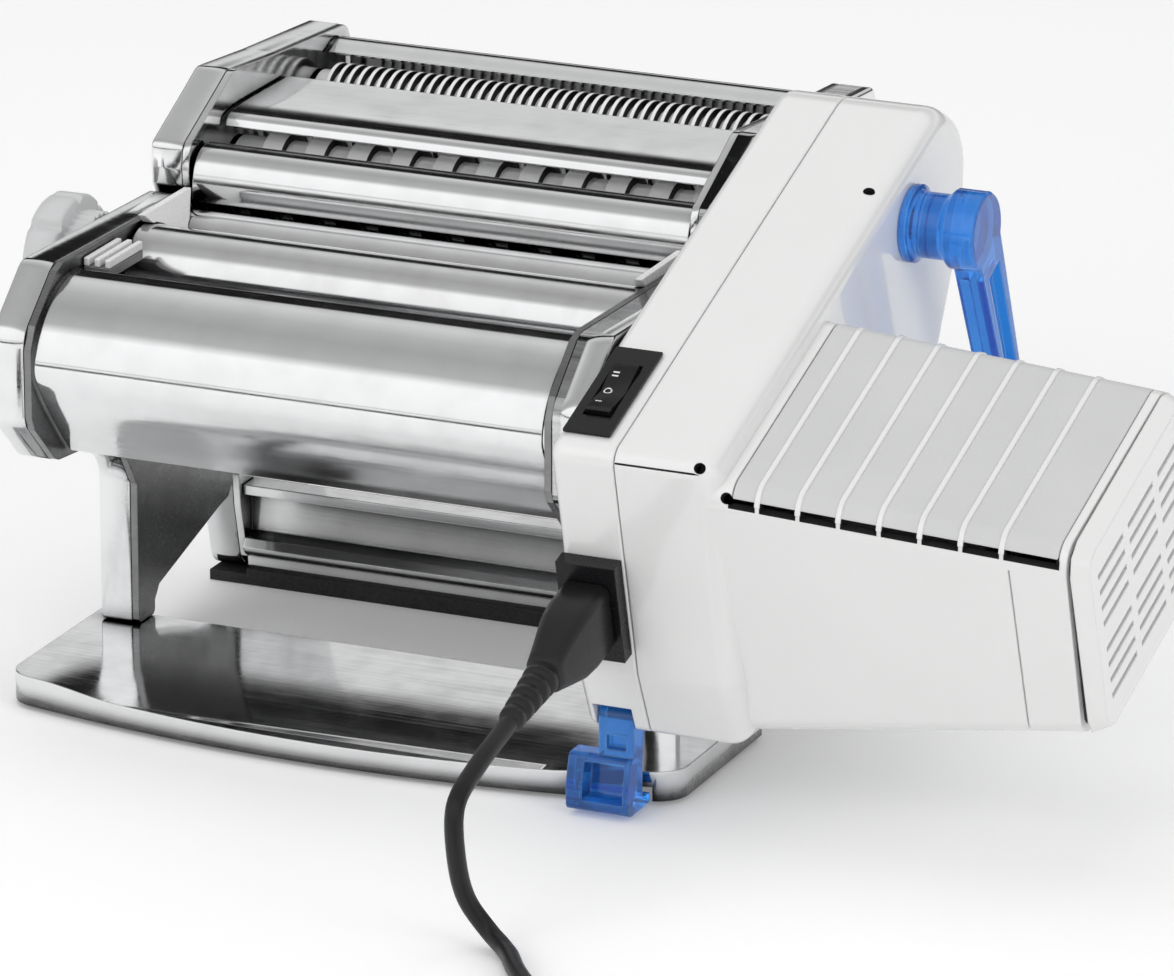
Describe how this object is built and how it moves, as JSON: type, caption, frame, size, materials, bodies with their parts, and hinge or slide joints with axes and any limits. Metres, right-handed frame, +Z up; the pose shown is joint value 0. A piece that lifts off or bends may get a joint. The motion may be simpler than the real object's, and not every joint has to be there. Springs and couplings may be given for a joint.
{
  "type": "electric pasta maker",
  "caption": "Chromed pasta rolling machine with a thickness knob, a rear cutter unit and a tilted motor drive unit on its side.",
  "frame": {"origin": "centre of the machine's footprint box on the table, its power lead left out", "axes": "+X along the rollers from the knob to the motor, -Y to the front where the dough is fed, +Z up"},
  "size_m": [0.3538, 0.4595, 0.1641],
  "materials": {
    "chrome": "polished chrome plate",
    "steel": "satin steel",
    "dark_steel": "dark oiled steel",
    "white_plastic": "glossy white",
    "light_plastic": "light grey satin",
    "nylon": "natural nylon",
    "black_plastic": "black satin",
    "blue_plastic": "clear blue",
    "rubber": "black rubber"
  },
  "bodies": {
    "frame": {"base_plate": "chrome", "base_front_strip": "rubber", "base_rear_strip": "rubber", "left_frame_plate": "steel", "right_frame_plate": "steel", "left_side_shell": "chrome", "right_side_shell": "chrome", "front_cover": "chrome", "tie_rod": "steel", "rear_scraper": "steel", "front_scraper": "steel", "left_feed_guide": "white_plastic", "right_feed_guide": "white_plastic", "roller_end_guard": "light_plastic", "rear_bush_left": "nylon", "rear_bush_right": "nylon", "cutter_left_plate": "steel", "cutter_right_plate": "steel", "cutter_left_shell": "chrome", "cutter_right_shell": "chrome", "cutter_front_cover": "chrome", "cutter_middle_cover": "chrome", "cutter_rear_cover": "chrome", "wide_comb": "steel", "fine_comb": "steel", "rear_foot_rail": "steel", "rear_foot_strip": "rubber", "housing_left_shell": "white_plastic", "housing_right_shell": "white_plastic", "motor_top_cover": "white_plastic", "end_cap": "white_plastic", "switch_bezel": "black_plastic", "power_inlet": "black_plastic", "connector": "black_plastic", "cord_coil": "black_plastic", "cord_lead": "black_plastic", "mains_plug": "black_plastic", "gear_plate": "steel", "motor_stator": "dark_steel"},
    "carriage": {"front_block_left": "nylon", "front_block_right": "nylon"},
    "knob": {"thickness_knob": "light_plastic"},
    "rear_roller_body": {"rear_roller": "steel", "rear_roller_gear": "dark_steel", "drive_shaft": "steel", "drive_wheel": "nylon"},
    "front_roller_body": {"front_roller": "steel", "front_roller_gear": "dark_steel"},
    "wide_front_body": {"wide_cutter_front": "steel"},
    "wide_rear_body": {"wide_cutter_rear": "steel"},
    "fine_front_body": {"fine_cutter_front": "steel"},
    "fine_rear_body": {"fine_cutter_rear": "steel"},
    "idler_front_body": {"idler_gear_front": "dark_steel"},
    "idler_rear_body": {"idler_gear_rear": "dark_steel"},
    "intermediate_body": {"intermediate_wheel": "nylon"},
    "rotor_body": {"motor_rotor": "dark_steel", "cooling_fan": "black_plastic"},
    "rocker_body": {"switch_rocker": "black_plastic"},
    "lever_body": {"release_lever": "blue_plastic"},
    "latch_body": {"base_latch": "blue_plastic"}
  },
  "joints": [
    {"name": "rear_roller_spin", "type": "hinge", "parent": "frame", "child": "rear_roller_body", "pos_m": [-0.0641, 0.00273, 0.1092], "axis": [1, 0, 0], "continuous": true},
    {"name": "thickness_slide", "type": "slide", "parent": "frame", "child": "carriage", "axis": [0, -0.9939, 0.11], "range_m": [0, 0.0024]},
    {"name": "thickness_knob_turn", "type": "hinge", "parent": "frame", "child": "knob", "pos_m": [-0.1591, -0.02257, 0.112], "axis": [1, 0, 0], "range_deg": [0, 150]},
    {"name": "front_roller_spin", "type": "hinge", "parent": "carriage", "child": "front_roller_body", "pos_m": [-0.0641, -0.02257, 0.112], "axis": [1, 0, 0], "continuous": true},
    {"name": "wide_cutter_front_spin", "type": "hinge", "parent": "frame", "child": "wide_front_body", "pos_m": [-0.0641, 0.02093, 0.12469], "axis": [1, 0, 0], "continuous": true},
    {"name": "wide_cutter_rear_spin", "type": "hinge", "parent": "frame", "child": "wide_rear_body", "pos_m": [-0.0641, 0.04013, 0.12469], "axis": [1, 0, 0], "continuous": true},
    {"name": "idler_front_spin", "type": "hinge", "parent": "frame", "child": "idler_front_body", "pos_m": [0.0179, 0.05006, 0.10826], "axis": [1, 0, 0], "continuous": true},
    {"name": "idler_rear_spin", "type": "hinge", "parent": "frame", "child": "idler_rear_body", "pos_m": [0.0179, 0.06902, 0.11129], "axis": [1, 0, 0], "continuous": true},
    {"name": "fine_cutter_front_spin", "type": "hinge", "parent": "frame", "child": "fine_front_body", "pos_m": [-0.0641, 0.07333, 0.13], "axis": [1, 0, 0], "continuous": true},
    {"name": "fine_cutter_rear_spin", "type": "hinge", "parent": "frame", "child": "fine_rear_body", "pos_m": [-0.0641, 0.09253, 0.13], "axis": [1, 0, 0], "continuous": true},
    {"name": "intermediate_spin", "type": "hinge", "parent": "frame", "child": "intermediate_body", "pos_m": [0.0509, -0.02429, 0.0884], "axis": [1, 0, 0], "continuous": true},
    {"name": "rotor_spin", "type": "hinge", "parent": "frame", "child": "rotor_body", "pos_m": [0.1009, -0.05707, 0.079], "axis": [1, 0, 0], "continuous": true},
    {"name": "switch_rock", "type": "hinge", "parent": "frame", "child": "rocker_body", "pos_m": [0.0323, -0.09115, 0.11734], "axis": [1, 0, 0], "range_deg": [-10, 10]},
    {"name": "release_lever_turn", "type": "hinge", "parent": "frame", "child": "lever_body", "pos_m": [0.0809, 0.01993, 0.1385], "axis": [1, 0, 0], "range_deg": [0, 70]},
    {"name": "base_latch_turn", "type": "hinge", "parent": "frame", "child": "latch_body", "pos_m": [0.0309, -0.08557, 0.027], "axis": [-1, 0, 0], "range_deg": [0, 45]}
  ],
  "couplings": [
    {"joint": "thickness_knob_turn", "follows": "thickness_slide", "rad_per_m": 1090.8},
    {"joint": "front_roller_spin", "follows": "rear_roller_spin", "ratio": -1},
    {"joint": "wide_cutter_front_spin", "follows": "rear_roller_spin", "ratio": -1},
    {"joint": "wide_cutter_rear_spin", "follows": "rear_roller_spin", "ratio": 1},
    {"joint": "idler_front_spin", "follows": "rear_roller_spin", "ratio": -1},
    {"joint": "idler_rear_spin", "follows": "rear_roller_spin", "ratio": 1},
    {"joint": "fine_cutter_front_spin", "follows": "rear_roller_spin", "ratio": -1},
    {"joint": "fine_cutter_rear_spin", "follows": "rear_roller_spin", "ratio": 1},
    {"joint": "intermediate_spin", "follows": "rear_roller_spin", "ratio": -4},
    {"joint": "rotor_spin", "follows": "rear_roller_spin", "ratio": 16}
  ]
}
